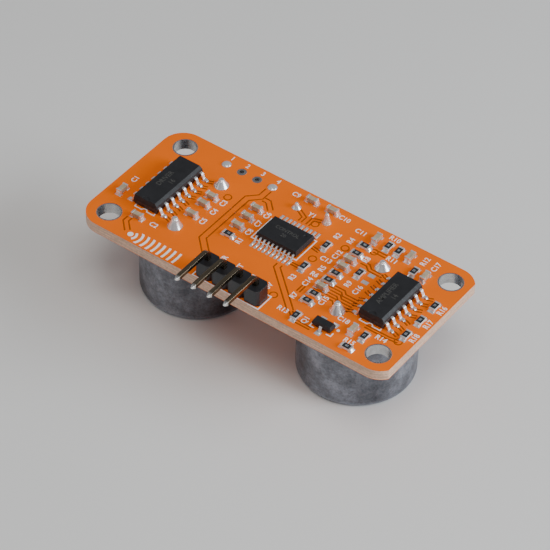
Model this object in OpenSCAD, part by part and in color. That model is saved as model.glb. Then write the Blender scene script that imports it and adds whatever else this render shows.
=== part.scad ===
// Ultrasonic distance sensor: two transducers on the front of a circuit board.
// Origin: centre of the four mounting holes, on the board's front face.
// +X along the board, +Y away from the header edge, +Z out of the component face.

/* [Board] */
// Length of the board before its right edge is cut
board_length = 49.6; // [49:0.1:60]
// Width of the board
board_width = 22; // [22:0.1:30]
// Thickness of the finished board, with both solder masks
board_thickness = 1.6; // [1:0.1:2.4]
// Radius of the corners
corner_radius = 3.2; // [1:0.1:4]
// Strip missing from the right edge, where the panel was cut
panel_cut = 0.6; // [0.1:0.1:1.2]
// Thickness of each solder mask, and of the copper level with it
mask_thickness = 0.05; // [0.03:0.01:0.1]
// Gap between the mask and each pad or ring
mask_gap = 0.05; // [0.03:0.01:0.08]

/* [Holes] */
// Bore of each plated mounting hole
mounting_bore = 3.1; // [2.5:0.1:4]
// Width of the copper ring round a mounting hole
mounting_ring = 0.15; // [0.1:0.05:0.6]
// Distance of a mounting hole's centre from the board's uncut ends
hole_inset_x = 3.3; // [3:0.1:4]
// Distance of a mounting hole's centre from the board's long edges
hole_inset_y = 2.9; // [2.8:0.1:4]
// Thickness of the plating in a hole
plating = 0.05; // [0.03:0.01:0.1]
// Width of the copper ring round a header pin's or programming pad's hole
pin_ring = 0.35; // [0.25:0.05:0.5]
// Width of the copper ring round a transducer terminal's hole
terminal_ring = 0.5; // [0.3:0.05:0.6]
// Width of the copper ring round a crystal lead's hole
crystal_ring = 0.25; // [0.2:0.05:0.35]
// Radial room between a pin and its plated hole
pin_room = 0.15; // [0.1:0.05:0.2]

/* [Transducers] */
// Outer diameter of a can
can_diameter = 16; // [13:0.1:19.2]
// Depth of a can, from the board to its open face
can_depth = 12; // [10:0.1:15]
// Wall of a can
can_wall = 0.5; // [0.3:0.05:0.8]
// Width of the lip that holds the screen in
can_lip = 2; // [1:0.1:2.5]
// Radius of the can's front edge
can_edge_radius = 0.8; // [0.4:0.1:1.2]
// Distance between the centres of the two cans
can_pitch = 26; // [25:0.1:28]
// Distance between the two terminals of a can
terminal_pitch = 10; // [9.4:0.1:12]
// Diameter of a terminal
terminal_diameter = 0.7; // [0.5:0.05:0.8]
// Thickness of the wire screen
screen_thickness = 0.3; // [0.2:0.05:0.5]
// Distance between the screen's wires
screen_pitch = 1.2; // [1:0.1:2]
// Width of a screen wire
screen_wire = 0.3; // [0.2:0.05:0.4]

/* [Sounder] */
// Depth of the base below the can's rim
base_recess = 0.4; // [0.2:0.1:0.6]
// Thickness of the base
base_thickness = 2; // [1.5:0.1:2.5]
// Outer radius of the damping ring
damping_radius = 3.6; // [3:0.1:3.6]
// Inner radius of the damping ring
damping_bore = 2.4; // [1.5:0.1:2.6]
// Height of the damping ring
damping_height = 2.2; // [1.8:0.1:2.6]
// Radius of the piezo disc
piezo_radius = 4; // [4:0.1:4.2]
// Thickness of the piezo disc
piezo_thickness = 0.4; // [0.3:0.05:0.5]
// Radius of the diaphragm plate
plate_radius = 5.2; // [5:0.1:5.6]
// Thickness of the diaphragm plate
plate_thickness = 0.3; // [0.2:0.05:0.4]
// Radius of the radiating cone at its mouth
cone_radius = 5; // [4:0.1:5.2]
// Radius of the radiating cone at its foot
cone_foot = 1.2; // [0.8:0.1:1.6]
// Height of the radiating cone
cone_height = 3; // [2:0.1:3.2]
// Wall of the radiating cone
cone_wall = 0.25; // [0.2:0.05:0.4]
// Radius of a lead wire
wire_radius = 0.1; // [0.06:0.01:0.12]

/* [Header] */
// Distance between the header's pins
header_pitch = 2.54; // [2.5:0.01:3.05]
// Side of a square pin
pin_side = 0.64; // [0.5:0.01:0.7]
// Distance of the row of pins from the board's front edge
header_inset = 1.5; // [1.4:0.1:2]
// Place of the row's centre along the board
header_x = -0.33; // [-0.6:0.01:0]
// Height and depth of the housing
housing_side = 2.54; // [2.3:0.01:2.8]
// Height of the pins' level run above the board
pin_rise = 3.93; // [3.6:0.01:5]
// How far the pins reach past the board's front edge
pin_reach = 5.2; // [4:0.1:8]
// Length of the pin tails in front of the board
pin_tail = 1.4; // [1.2:0.1:2]

/* [Chips] */
// Lead pitch of the two larger chips
so_pitch = 1.27; // [1.25:0.01:1.3]
// Width over the leads of the two larger chips
so_span = 6; // [5.8:0.1:6.2]
// Height of the two larger chips above the board
so_height = 1.75; // [1.4:0.05:1.9]
// Size of the chamfer along the first pin's side of the two larger chips
so_chamfer = 0.3; // [0.2:0.05:0.4]
// Height of the controller chip above the board
controller_height = 1.1; // [1:0.05:1.3]
// Height of the transistor above the board
transistor_height = 1.05; // [1:0.05:1.2]
// How far each chip's side walls lean in from its parting line
draft = 0.15; // [0.04:0.01:0.18]

/* [Passives] */
// Length of a chip resistor or capacitor
passive_length = 1.6; // [1.4:0.1:1.7]
// Width of a chip resistor or capacitor
passive_width = 0.8; // [0.7:0.05:0.85]
// Height of a chip resistor
resistor_height = 0.45; // [0.4:0.05:0.6]
// Height of a chip capacitor
capacitor_height = 0.8; // [0.6:0.05:0.9]

/* [Ink] */
// Width of a printed outline
ink_line = 0.15; // [0.1:0.01:0.2]
// Thickness of the printed ink
ink_thickness = 0.03; // [0.02:0.01:0.05]

/* [Crystal] */
// Length of the crystal's base
crystal_length = 11; // [10:0.1:11.2]
// Width of the crystal's base
crystal_width = 4.65; // [4.4:0.05:4.8]
// Height of the crystal in front of the board
crystal_height = 3.5; // [3:0.1:4.2]
// Distance between the crystal's leads
crystal_pitch = 4.88; // [4.6:0.02:5.2]

/* [Hidden] */
$fn = 64;

mask_colour = "darkorange";
laminate_colour = "burlywood";
copper_colour = "gold";
tin_colour = "silver";
epoxy_colour = "#1c1c1e";
can_colour = "#a4a6a8";

// Room left past a surface that a cutting tool goes through
past = 1;

// Board levels and edges
back_face = board_thickness;
right_edge = board_length / 2 - panel_cut;
front_edge = -board_width / 2;
hole_x = board_length / 2 - hole_inset_x;
hole_y = board_width / 2 - hole_inset_y;
mounting_places = [for (sx = [-1, 1], sy = [-1, 1]) [sx * hole_x, sy * hole_y]];

// Header
pin_count = 4;
header_y = front_edge + header_inset;
header_places = [for (i = [0:pin_count - 1]) [header_x + (i - (pin_count - 1) / 2) * header_pitch, header_y]];
pin_bend = 0.5;
pin_taper = 0.2;
tip_length = 0.5;
housing_notch = 0.4;
header_bore = pin_side / sqrt(2) + pin_room;

// Transducers
can_radius = can_diameter / 2;
can_inside = can_radius - can_wall;
transmitter_x = -can_pitch / 2;
receiver_x = can_pitch / 2;
terminal_radius = terminal_diameter / 2;
terminal_bore = terminal_radius + pin_room;
terminal_places = [for (x = [transmitter_x, receiver_x], s = [-1, 1]) [x, s * terminal_pitch / 2]];
terminal_inside = 0.8;
// The front and rear terminals are trimmed to different lengths, and solder stops short of their ends
terminal_rises = [1.5, 1.1];
bare_end = 0.15;
base_back = -base_recess;
base_front = base_back - base_thickness;
piezo_back = base_front - damping_height;
plate_back = piezo_back - piezo_thickness;
plate_front = plate_back - plate_thickness;
terminal_end = base_front - terminal_inside;
wire_turn = 0.25;
wire_level = terminal_end - 0.5;
plate_wire_y = (piezo_radius + plate_radius) / 2;
piezo_wire_y = (damping_radius + piezo_radius) / 2;

// Crystal, placed from the board's rear edge
crystal_x = -0.1;
crystal_y = board_width / 2 - 3.45;
crystal_lead_radius = 0.22;
crystal_bore = crystal_lead_radius + pin_room;
crystal_places = [for (s = [-1, 1]) [crystal_x + s * crystal_pitch / 2, crystal_y]];
crystal_base_thickness = 0.5;
crystal_flange = 0.35;
crystal_can_wall = 0.3;
crystal_flange_thickness = 0.3;
crystal_lead_inside = 0.5;
crystal_lead_rises = [0.8, 1.6];
quartz_length = 7.6;
quartz_width = 2.2;
quartz_thickness = 0.15;

// Programming pads, placed from the board's rear edge
programming_bore = 0.3;
programming_y = board_width / 2 - 2.25;
programming_reach = programming_bore + pin_ring;
programming_x = -15;
programming_pitch = 2.54;
programming_places = [for (i = [0:3]) [programming_x + i * programming_pitch, programming_y]];
filled_pads = [programming_places[0], programming_places[3]];
filled_pad_rise = 0.25;

// Every plated hole of a pin or lead: the places, the bore and the ring that they share
pin_hole_sets = [
    [header_places, header_bore, pin_ring],
    [terminal_places, terminal_bore, terminal_ring],
    [crystal_places, crystal_bore, crystal_ring],
    [programming_places, programming_bore, pin_ring]
];

// A package is its body width, body length, height, standoff, lead pitch, leads a side,
// width over the leads, lead width, lead thickness, foot length, bend radius and pad width.
// Leads leave along X, and their rows run along Y.
standoff = 0.12;
so_16 = [3.9, 9.9, so_height, standoff, so_pitch, 8, so_span, 0.42, 0.2, 0.5, 0.12, 0.52];
so_14 = [3.9, 8.65, so_height, standoff, so_pitch, 7, so_span, 0.42, 0.2, 0.5, 0.12, 0.52];
tssop_20 = [4.2, 6.5, controller_height, standoff, 0.65, 10, 6.4, 0.24, 0.13, 0.45, 0.08, 0.34];
sot_23 = [1.3, 2.9, transistor_height, standoff, 1.9, 2, 2.4, 0.42, 0.12, 0.25, 0.06, 0.8];
BODY_W = 0;
BODY_L = 1;
TOP = 2;
STANDOFF = 3;
PITCH = 4;
COUNT = 5;
SPAN = 6;
LEAD_W = 7;
LEAD_T = 8;
FOOT = 9;
BEND = 10;
PAD_W = 11;
// How far a lead goes into the body, and how far its pad goes past its toe and its heel
lead_root = 0.3;
so_toe = 0.2;
tssop_toe = 0.5;
sot_toe = 0.4;
pad_heel = 0.15;
pad_side = 0.05;

// Chips: place and turn of each. Left and right ones are placed from the mounting holes.
driver_at = [-hole_x + 3.5, 0, 0];
amplifier_at = [hole_x - 3.75, -0.1, 0];
controller_at = [0, 1.55, 90];
// The transistor stays clear of the receiver's front joint.
transistor_reach = sot_23[SPAN] / 2 + sot_toe;
joint_edge = -terminal_pitch / 2 - terminal_bore - terminal_ring;
transistor_at = [13.4, min(front_edge + 2.5, joint_edge - transistor_reach - 3 * mask_gap), -90];

// Printed ink: its gap from what it surrounds, how far the controller's box goes to its left,
// the transistor's dot and the place of the sound mark
ink_gap = 0.08;
controller_box_side = 0.2;
transistor_dot = [1.8, 0.65];
dot_radius = 0.22;
mark_at = [-hole_x + 4.9, front_edge + 1.2];

// Passives: kind, x, y and turn of each
left = -hole_x;
right = hole_x;
rear = board_width / 2;
stack_kinds = "RCCRRCRR";
stack = [for (i = [0:len(stack_kinds) - 1]) [stack_kinds[i], 9, 4.9 - 1.56 * i, 0]];
driver_capacitors = [for (y = [2.2, 0.4, -2.1]) ["C", left + 9, y, 0]];
filter_capacitors = [for (y = [3.9, 1.9, -0.2]) ["C", -6.4, y, 0]];
edge_resistors = [for (y = [2.9, -0.3, -3.5]) ["R", right + 1, y, 90]];
crystal_capacitors = [for (x = [-1.5, 1.8]) ["C", x, rear - 1.4, 0]];
single_parts = [
    ["C", left + 3.6, -6.7, 0],
    ["C", left - 1.2, -3.9, 90],
    ["R", -6.4, -2.2, 0],
    ["R", 5, 3.7, 90],
    ["R", 5, -1.2, 90],
    ["R", 9, 6.7, 0],
    ["C", 9.5, 8.7, 90],
    ["R", 11.5, 8.5, 90],
    ["R", 13.1, 8.5, 90],
    ["C", 14.9, 8.5, 90],
    ["R", 11.4, 2.1, 90],
    ["R", 9.5, -9.1, 90],
    ["R", right - 4.7, 6.6, 90],
    ["C", right - 3, 6.6, 90],
    ["C", right - 4.8, -6.8, 90],
    ["R", right - 3, -6.9, 90],
    ["R", right - 3.7, -9.7, 0]
];
parts = concat(stack, driver_capacitors, filter_capacitors, edge_resistors, crystal_capacitors, single_parts);
resistors = [for (p = parts) if (p[0] == "R") p];
capacitors = [for (p = parts) if (p[0] == "C") p];
empty_places = [["R", 12.8, 2.1, 90]];
cap_length = 0.26;
bare_length = passive_length - 2 * cap_length;
cap_skin = 0.05;
overcoat_thickness = 0.04;
passive_pad_gap = 0.9;
passive_pad_toe = 0.25;
passive_pad_width = 0.9;

// Helpers

function arc(x, y, r, from, to, steps) =
    [for (i = [0:steps]) let (a = from + (to - from) * i / steps) [x + r * cos(a), y + r * sin(a)]];

// Profile of a solder cone, hollow at the foot, from radius r0 up to radius r1
function cone_curve(r0, r1, z0, rise, steps = 5) =
    [for (i = [0:steps]) let (t = i / steps) [r1 + (r0 - r1) * pow(1 - t, 2), z0 + rise * t]];

module at(place) {
    translate([place[0], place[1], back_face]) rotate([0, 0, place[2]]) children();
}

module at_part(part) {
    at([part[1], part[2], part[3]]) children();
}

module at_each(places) {
    for (p = places) translate([p[0], p[1], 0]) children();
}

// Draws a profile given in Y and Z, and gives it a width along X
module along_x(width) {
    rotate([90, 0, 90]) translate([0, 0, -width / 2]) linear_extrude(width) children();
}

// Draws a profile given in X and Z, and gives it a width along Y
module along_y(width) {
    rotate([90, 0, 0]) translate([0, 0, -width / 2]) linear_extrude(width) children();
}

module block(x, y, z) {
    translate([-x / 2, -y / 2, 0]) cube([x, y, z]);
}

// Board

module outline() {
    intersection() {
        union() {
            square([board_length - 2 * corner_radius, board_width], center = true);
            square([board_length, board_width - 2 * corner_radius], center = true);
            for (sx = [-1, 1], sy = [-1, 1])
                translate([sx * (board_length / 2 - corner_radius), sy * (board_width / 2 - corner_radius)])
                    circle(corner_radius);
        }
        translate([-board_length, -board_width])
            square([board_length + right_edge, 2 * board_width]);
    }
}

module ring_openings() {
    for (p = mounting_places) translate(p) circle(mounting_bore / 2 + mounting_ring + mask_gap);
    for (set = pin_hole_sets, p = set[0]) translate(p) circle(set[1] + set[2] + mask_gap);
}

module board_laminate() {
    color(laminate_colour)
        translate([0, 0, mask_thickness])
            linear_extrude(board_thickness - 2 * mask_thickness)
                difference() {
                    outline();
                    for (p = mounting_places) translate(p) circle(mounting_bore / 2 + plating);
                    for (set = pin_hole_sets, p = set[0]) translate(p) circle(set[1] + plating);
                }
}

module solder_mask_back() {
    color(mask_colour)
        translate([0, 0, back_face - mask_thickness])
            linear_extrude(mask_thickness)
                difference() {
                    outline();
                    ring_openings();
                    pad_shapes(mask_gap);
                }
}

module solder_mask_front() {
    color(mask_colour)
        linear_extrude(mask_thickness)
            difference() {
                outline();
                ring_openings();
            }
}

// A plated hole: a tube through the board with a ring on each face
module eyelet(bore, ring) {
    rotate_extrude()
        polygon([
            [bore, 0],
            [bore + ring, 0],
            [bore + ring, mask_thickness],
            [bore + plating, mask_thickness],
            [bore + plating, back_face - mask_thickness],
            [bore + ring, back_face - mask_thickness],
            [bore + ring, back_face],
            [bore, back_face]
        ]);
}

module mounting_hole_plating() {
    color(tin_colour) at_each(mounting_places) eyelet(mounting_bore / 2, mounting_ring);
}

module through_hole_plating() {
    color(copper_colour)
        for (set = pin_hole_sets) at_each(set[0]) eyelet(set[1], set[2]);
}

// Pads, drawn flat. The mask's openings are the same shapes with a gap round them.

module pad(x0, x1, width, gap) {
    translate([x0 - gap, -width / 2 - gap]) square([x1 - x0 + 2 * gap, width + 2 * gap]);
}

module lead_pad(package, toe, gap) {
    pad(package[SPAN] / 2 - package[FOOT] - pad_heel, package[SPAN] / 2 + toe, package[PAD_W], gap);
}

module chip_pads(place, package, toe, gap) {
    translate([place[0], place[1]]) rotate(place[2])
        for (side = [0, 180], i = [0:package[COUNT] - 1])
            rotate(side) translate([0, row_place(package, i)]) lead_pad(package, toe, gap);
}

module transistor_pads(gap) {
    translate([transistor_at[0], transistor_at[1]]) rotate(transistor_at[2]) {
        lead_pad(sot_23, sot_toe, gap);
        for (i = [0, 1]) rotate(180) translate([0, row_place(sot_23, i)]) lead_pad(sot_23, sot_toe, gap);
    }
}

module passive_pads(part, gap) {
    translate([part[1], part[2]]) rotate(part[3])
        for (side = [0, 180])
            rotate(side)
                pad(passive_pad_gap / 2, passive_length / 2 + passive_pad_toe, passive_pad_width, gap);
}

module pad_shapes(gap) {
    chip_pads(driver_at, so_16, so_toe, gap);
    chip_pads(amplifier_at, so_14, so_toe, gap);
    chip_pads(controller_at, tssop_20, tssop_toe, gap);
    transistor_pads(gap);
    for (part = concat(parts, empty_places)) passive_pads(part, gap);
}

module surface_mount_pads() {
    color(tin_colour)
        translate([0, 0, back_face - mask_thickness]) linear_extrude(mask_thickness) pad_shapes(0);
}

// Printed ink on the component face

// Outline of a rectangle, drawn outside it
module box_line(x, y) {
    difference() {
        square([x + 2 * ink_line, y + 2 * ink_line], center = true);
        square([x, y], center = true);
    }
}

// Line past a chip's front end, with a half-round bow in its middle and a leg at each end
module end_line(package) {
    bow = 0.5;
    leg = 0.45;
    y = -package[BODY_L] / 2 - 2 * ink_gap - ink_line;
    half = package[BODY_W] / 2 - lead_root;
    difference() {
        union() {
            translate([-half, y]) square([2 * half, ink_line]);
            translate([-half, y]) square([ink_line, leg]);
            translate([half - ink_line, y]) square([ink_line, leg]);
            translate([0, y]) circle(bow);
        }
        translate([0, y]) circle(bow - ink_line);
        translate([-half, y - bow - ink_line]) square([2 * half, bow + ink_line]);
    }
}

// Corner marks of the transistor, on the side of its single lead
module transistor_corners() {
    arm = 0.6;
    x = sot_23[BODY_W] / 2 + ink_gap;
    y = sot_23[BODY_L] / 2 + ink_gap;
    for (s = [0, 1])
        mirror([0, s]) {
            translate([x, y - arm]) square([ink_line, arm + ink_line]);
            translate([x - arm, y]) square([arm + ink_line, ink_line]);
        }
}

// A dot and the arcs that spread from it, cut to a band: a plain sign for sound
module sound_mark() {
    band = 2;
    stroke = 0.32;
    step = 0.85;
    arcs = 9;
    intersection() {
        union() {
            circle(0.4);
            for (i = [1:arcs])
                difference() {
                    circle(i * step + stroke / 2);
                    circle(i * step - stroke / 2);
                }
        }
        translate([-band / 2, -band / 2]) square([arcs * step + band, band]);
        rotate(-45) union() {
            square(arcs * step + band);
            circle(0.5);
        }
    }
}

module printed_outlines() {
    color("white")
        translate([0, 0, back_face])
            linear_extrude(ink_thickness) {
                translate([header_x, header_y])
                    box_line(pin_count * header_pitch + 2 * ink_gap, housing_side + 2 * ink_gap);
                translate([controller_at[0] - controller_box_side, controller_at[1]]) rotate(controller_at[2])
                    box_line(
                        tssop_20[BODY_W] + 2 * ink_gap,
                        tssop_20[BODY_L] + 2 * (ink_gap + controller_box_side)
                    );
                translate([driver_at[0], driver_at[1]]) end_line(so_16);
                translate([amplifier_at[0], amplifier_at[1]]) end_line(so_14);
                translate([transistor_at[0], transistor_at[1]]) rotate(transistor_at[2]) transistor_corners();
                translate([transistor_at[0] + transistor_dot[0], transistor_at[1] + transistor_dot[1]])
                    circle(dot_radius);
                translate(mark_at) sound_mark();
            }
}

// Header

module pin_path() {
    level = back_face + pin_rise;
    half = pin_side / 2;
    tip = front_edge - pin_reach;
    turn_y = header_y - half - pin_bend;
    turn_z = level - half - pin_bend;
    polygon(concat(
        [[header_y - half + pin_taper, -pin_tail], [header_y + half - pin_taper, -pin_tail]],
        [[header_y + half, -pin_tail + tip_length]],
        arc(turn_y, turn_z, pin_bend + pin_side, 0, 90, 8),
        [[tip + tip_length, level + half], [tip, level + half - pin_taper]],
        [[tip, level - half + pin_taper], [tip + tip_length, level - half]],
        arc(turn_y, turn_z, pin_bend, 90, 0, 6),
        [[header_y - half, -pin_tail + tip_length]]
    ));
}

module pin_plan() {
    half = pin_side / 2;
    tip = front_edge - pin_reach;
    polygon([
        [-half, header_y + past],
        [-half, tip + tip_length],
        [-half + pin_taper, tip],
        [half - pin_taper, tip],
        [half, tip + tip_length],
        [half, header_y + past]
    ]);
}

module header_pins() {
    color("silver")
        for (p = header_places)
            translate([p[0], 0, 0])
                intersection() {
                    along_x(pin_side) pin_path();
                    translate([0, 0, -pin_tail - past])
                        linear_extrude(pin_tail + back_face + pin_rise + pin_side + 2 * past) pin_plan();
                }
}

module housing_unit() {
    half = housing_side / 2;
    across = header_pitch / 2;
    polygon([
        [-across, -half + housing_notch],
        [-across + housing_notch, -half],
        [across - housing_notch, -half],
        [across, -half + housing_notch],
        [across, half - housing_notch],
        [across - housing_notch, half],
        [-across + housing_notch, half],
        [-across, half - housing_notch]
    ]);
}

module header_housing() {
    color(epoxy_colour)
        translate([0, 0, back_face])
            linear_extrude(housing_side)
                difference() {
                    for (p = header_places) translate(p) housing_unit();
                    for (p = header_places) translate(p) square(pin_side, center = true);
                }
}

// Solder round a pin: it fills the plated hole, covers the ring and climbs the pin
module joint(bore, ring, pin, rise) {
    rotate_extrude()
        polygon(concat(
            [[0, 0], [bore, 0], [bore, back_face]],
            cone_curve(bore + ring, pin + 0.12, back_face, rise),
            [[0, back_face + rise]]
        ));
}

// The joint of a round pin, with the pin's own place left open
module soldered(bore, ring, pin, rise) {
    difference() {
        joint(bore, ring, pin, rise);
        translate([0, 0, -past]) cylinder(r = pin, h = back_face + rise + 2 * past);
    }
}

module header_solder_joints() {
    joint_rise = 0.9;
    color(tin_colour)
        for (p = header_places)
            translate([p[0], p[1], 0])
                difference() {
                    translate([0, 0, back_face])
                        mirror([0, 0, 1]) joint(header_bore, pin_ring, pin_side / sqrt(2), joint_rise);
                    translate([0, 0, -pin_tail - past])
                        block(pin_side, pin_side, pin_tail + back_face + 2 * past);
                }
}

module programming_pad_solder() {
    color(tin_colour)
        at_each(filled_pads)
            rotate_extrude()
                polygon(concat(
                    [[0, 0], [programming_bore, 0], [programming_bore, back_face]],
                    [for (a = [0:15:90]) [programming_reach * cos(a), back_face + filled_pad_rise * sin(a)]]
                ));
}

// Chips

function row_place(package, i) = (i - (package[COUNT] - 1) / 2) * package[PITCH];
function parting(package) = (package[TOP] + package[STANDOFF]) / 2;

// One gull-wing lead, drawn from inside the body to its toe
module lead(package) {
    thick = package[LEAD_T];
    inner = package[BEND];
    outer = inner + thick;
    toe = package[SPAN] / 2;
    start = toe - package[FOOT] - outer - inner;
    middle = parting(package);
    bend_z = middle - thick / 2 - inner;
    along_y(package[LEAD_W])
        polygon(concat(
            [[package[BODY_W] / 2 - lead_root, middle - thick / 2]],
            arc(start, bend_z, inner, 90, 0, 3),
            arc(start + outer + inner, outer, outer, 180, 270, 3),
            [[toe, 0], [toe, thick]],
            arc(start + outer + inner, outer, inner, 270, 180, 3),
            arc(start, bend_z, outer, 0, 90, 3),
            [[package[BODY_W] / 2 - lead_root, middle + thick / 2]]
        ));
}

module leads(package) {
    for (side = [0, 180], i = [0:package[COUNT] - 1])
        rotate([0, 0, side]) translate([0, row_place(package, i), 0]) lead(package);
}

module transistor_lead_set() {
    lead(sot_23);
    for (i = [0, 1]) rotate([0, 0, 180]) translate([0, row_place(sot_23, i), 0]) lead(sot_23);
}

// Side view of a moulded body of the given width: it leans in above and below the parting line
module moulded_side(package, width) {
    half = width / 2;
    polygon([
        [-half + draft, package[STANDOFF]],
        [half - draft, package[STANDOFF]],
        [half, parting(package)],
        [half - draft, package[TOP]],
        [-half + draft, package[TOP]],
        [-half, parting(package)]
    ]);
}

module moulding(package) {
    intersection() {
        along_y(package[BODY_L] + 2 * past) moulded_side(package, package[BODY_W]);
        along_x(package[BODY_W] + 2 * past) moulded_side(package, package[BODY_L]);
    }
}

// Mark of the first pin's end: a half-round notch in the top, at the front end
notch_radius = 0.5;
notch_depth = 0.08;
module end_notch(package) {
    translate([0, -package[BODY_L] / 2, package[TOP] - notch_depth])
        cylinder(r = notch_radius + draft, h = notch_depth + past);
}

// What is cut from the first pin's side of a body to chamfer its top edge
module side_chamfer(package) {
    edge = package[BODY_W] / 2 - draft;
    top = package[TOP];
    along_y(package[BODY_L] + 2 * past)
        polygon([
            [edge - so_chamfer, top],
            [edge - so_chamfer, top + past],
            [edge + past, top + past],
            [edge + past, top - so_chamfer - past]
        ]);
}

module so_body(package) {
    difference() {
        moulding(package);
        leads(package);
        end_notch(package);
        side_chamfer(package);
    }
}

module driver_chip_body() {
    color(epoxy_colour) at(driver_at) so_body(so_16);
}

module driver_chip_leads() {
    color(tin_colour) at(driver_at) leads(so_16);
}

module amplifier_chip_body() {
    color(epoxy_colour) at(amplifier_at) so_body(so_14);
}

module amplifier_chip_leads() {
    color(tin_colour) at(amplifier_at) leads(so_14);
}

module controller_chip_body() {
    dimple_radius = 0.25;
    dimple_inset = 0.9;
    color(epoxy_colour)
        at(controller_at)
            difference() {
                moulding(tssop_20);
                leads(tssop_20);
                translate([
                    tssop_20[BODY_W] / 2 - dimple_inset,
                    -tssop_20[BODY_L] / 2 + dimple_inset,
                    tssop_20[TOP] - notch_depth
                ])
                    cylinder(r = dimple_radius, h = notch_depth + past);
            }
}

module controller_chip_leads() {
    color(tin_colour) at(controller_at) leads(tssop_20);
}

module transistor_body() {
    color(epoxy_colour)
        at(transistor_at)
            difference() {
                moulding(sot_23);
                transistor_lead_set();
            }
}

module transistor_leads() {
    color(tin_colour) at(transistor_at) transistor_lead_set();
}

// Solder that runs up the toe of a lead
module toe_solder(package, toe) {
    edge = package[SPAN] / 2;
    run = toe - pad_side;
    along_y(package[PAD_W] - 2 * pad_side)
        polygon([
            [edge, 0],
            [edge + run, 0],
            [edge + run * 0.4, package[LEAD_T] * 0.35],
            [edge, package[LEAD_T]]
        ]);
}

module row_solder(package, toe) {
    for (side = [0, 180], i = [0:package[COUNT] - 1])
        rotate([0, 0, side]) translate([0, row_place(package, i), 0]) toe_solder(package, toe);
}

module chip_solder_joints() {
    color(tin_colour) {
        at(driver_at) row_solder(so_16, so_toe);
        at(amplifier_at) row_solder(so_14, so_toe);
        at(controller_at) row_solder(tssop_20, tssop_toe);
        at(transistor_at) {
            toe_solder(sot_23, sot_toe);
            for (i = [0, 1])
                rotate([0, 0, 180]) translate([0, row_place(sot_23, i), 0]) toe_solder(sot_23, sot_toe);
        }
    }
}

// Passives

module resistor_core() {
    translate([0, 0, cap_skin])
        block(passive_length - 2 * cap_skin, passive_width, resistor_height - 2 * cap_skin);
}

module resistor_cores() {
    color("white") for (part = resistors) at_part(part) resistor_core();
}

module resistor_overcoats() {
    color(epoxy_colour)
        for (part = resistors)
            at_part(part)
                translate([0, 0, resistor_height - cap_skin])
                    block(bare_length, passive_width, overcoat_thickness);
}

module resistor_terminals() {
    color(tin_colour)
        for (part = resistors)
            at_part(part)
                difference() {
                    block(passive_length, passive_width, resistor_height);
                    resistor_core();
                    translate([0, 0, -past])
                        block(bare_length, passive_width + past, resistor_height + 2 * past);
                }
}

module capacitor_core() {
    translate([0, 0, cap_skin])
        block(passive_length - 2 * cap_skin, passive_width - 2 * cap_skin, capacitor_height - 2 * cap_skin);
}

module capacitor_bodies() {
    color("tan") for (part = capacitors) at_part(part) capacitor_core();
}

module capacitor_terminals() {
    color(tin_colour)
        for (part = capacitors)
            at_part(part)
                difference() {
                    block(passive_length, passive_width, capacitor_height);
                    capacitor_core();
                    translate([0, 0, -past])
                        block(bare_length, passive_width + past, capacitor_height + 2 * past);
                }
}

// Solder that runs up the end of a passive of the given height
module end_solder(height) {
    edge = passive_length / 2;
    for (side = [0, 180])
        rotate([0, 0, side])
            along_y(passive_width)
                polygon([
                    [edge, 0],
                    [edge + passive_pad_toe, 0],
                    [edge + passive_pad_toe * 0.4, height * 0.3],
                    [edge, height * 0.85]
                ]);
}

module passive_solder_joints() {
    color(tin_colour) {
        for (part = resistors) at_part(part) end_solder(resistor_height);
        for (part = capacitors) at_part(part) end_solder(capacitor_height);
    }
}

// Crystal, on the front face

module stadium(length, width) {
    square([length - width, width], center = true);
    for (s = [-1, 1]) translate([s * (length - width) / 2, 0]) circle(width / 2);
}

module at_crystal(z) {
    translate([crystal_x, crystal_y, z]) children();
}

module crystal_can() {
    flange_front = -crystal_base_thickness - crystal_flange_thickness;
    length = crystal_length - 2 * crystal_flange;
    width = crystal_width - 2 * crystal_flange;
    color(can_colour)
        at_crystal(0)
            difference() {
                union() {
                    translate([0, 0, flange_front])
                        linear_extrude(crystal_flange_thickness) stadium(crystal_length, crystal_width);
                    translate([0, 0, -crystal_height])
                        linear_extrude(crystal_height + flange_front) stadium(length, width);
                }
                translate([0, 0, -crystal_height + crystal_can_wall])
                    linear_extrude(crystal_height)
                        stadium(length - 2 * crystal_can_wall, width - 2 * crystal_can_wall);
            }
}

module crystal_base() {
    color(can_colour)
        difference() {
            at_crystal(-crystal_base_thickness)
                linear_extrude(crystal_base_thickness) stadium(crystal_length, crystal_width);
            translate([0, 0, -crystal_base_thickness - past])
                at_each(crystal_places)
                    cylinder(r = crystal_lead_radius, h = crystal_base_thickness + 2 * past);
        }
}

module crystal_leads() {
    inside = crystal_base_thickness + crystal_lead_inside;
    color(tin_colour)
        for (i = [0, 1])
            translate([crystal_places[i][0], crystal_places[i][1], -inside])
                cylinder(r = crystal_lead_radius, h = inside + back_face + crystal_lead_rises[i]);
}

module crystal_quartz() {
    color("lightcyan")
        at_crystal(-crystal_base_thickness - crystal_lead_inside - quartz_thickness)
            block(quartz_length, quartz_width, quartz_thickness);
}

module crystal_solder_joints() {
    color(tin_colour)
        for (i = [0, 1])
            translate(crystal_places[i])
                soldered(crystal_bore, crystal_ring, crystal_lead_radius, crystal_lead_rises[i] - bare_end);
}

// Transducers: each piece is drawn about its own can's axis

module transducer_solder_joints() {
    color(tin_colour)
        for (x = [transmitter_x, receiver_x], i = [0, 1])
            translate([x, (2 * i - 1) * terminal_pitch / 2])
                soldered(terminal_bore, terminal_ring, terminal_radius, terminal_rises[i] - bare_end);
}

module can() {
    color(can_colour)
        rotate_extrude()
            polygon(concat(
                [[can_inside, 0], [can_radius, 0]],
                arc(can_radius - can_edge_radius, can_edge_radius - can_depth, can_edge_radius, 0, -90, 6),
                [[can_radius - can_lip, -can_depth], [can_radius - can_lip, -can_depth + can_wall]],
                [[can_inside, -can_depth + can_wall]]
            ));
}

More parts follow.
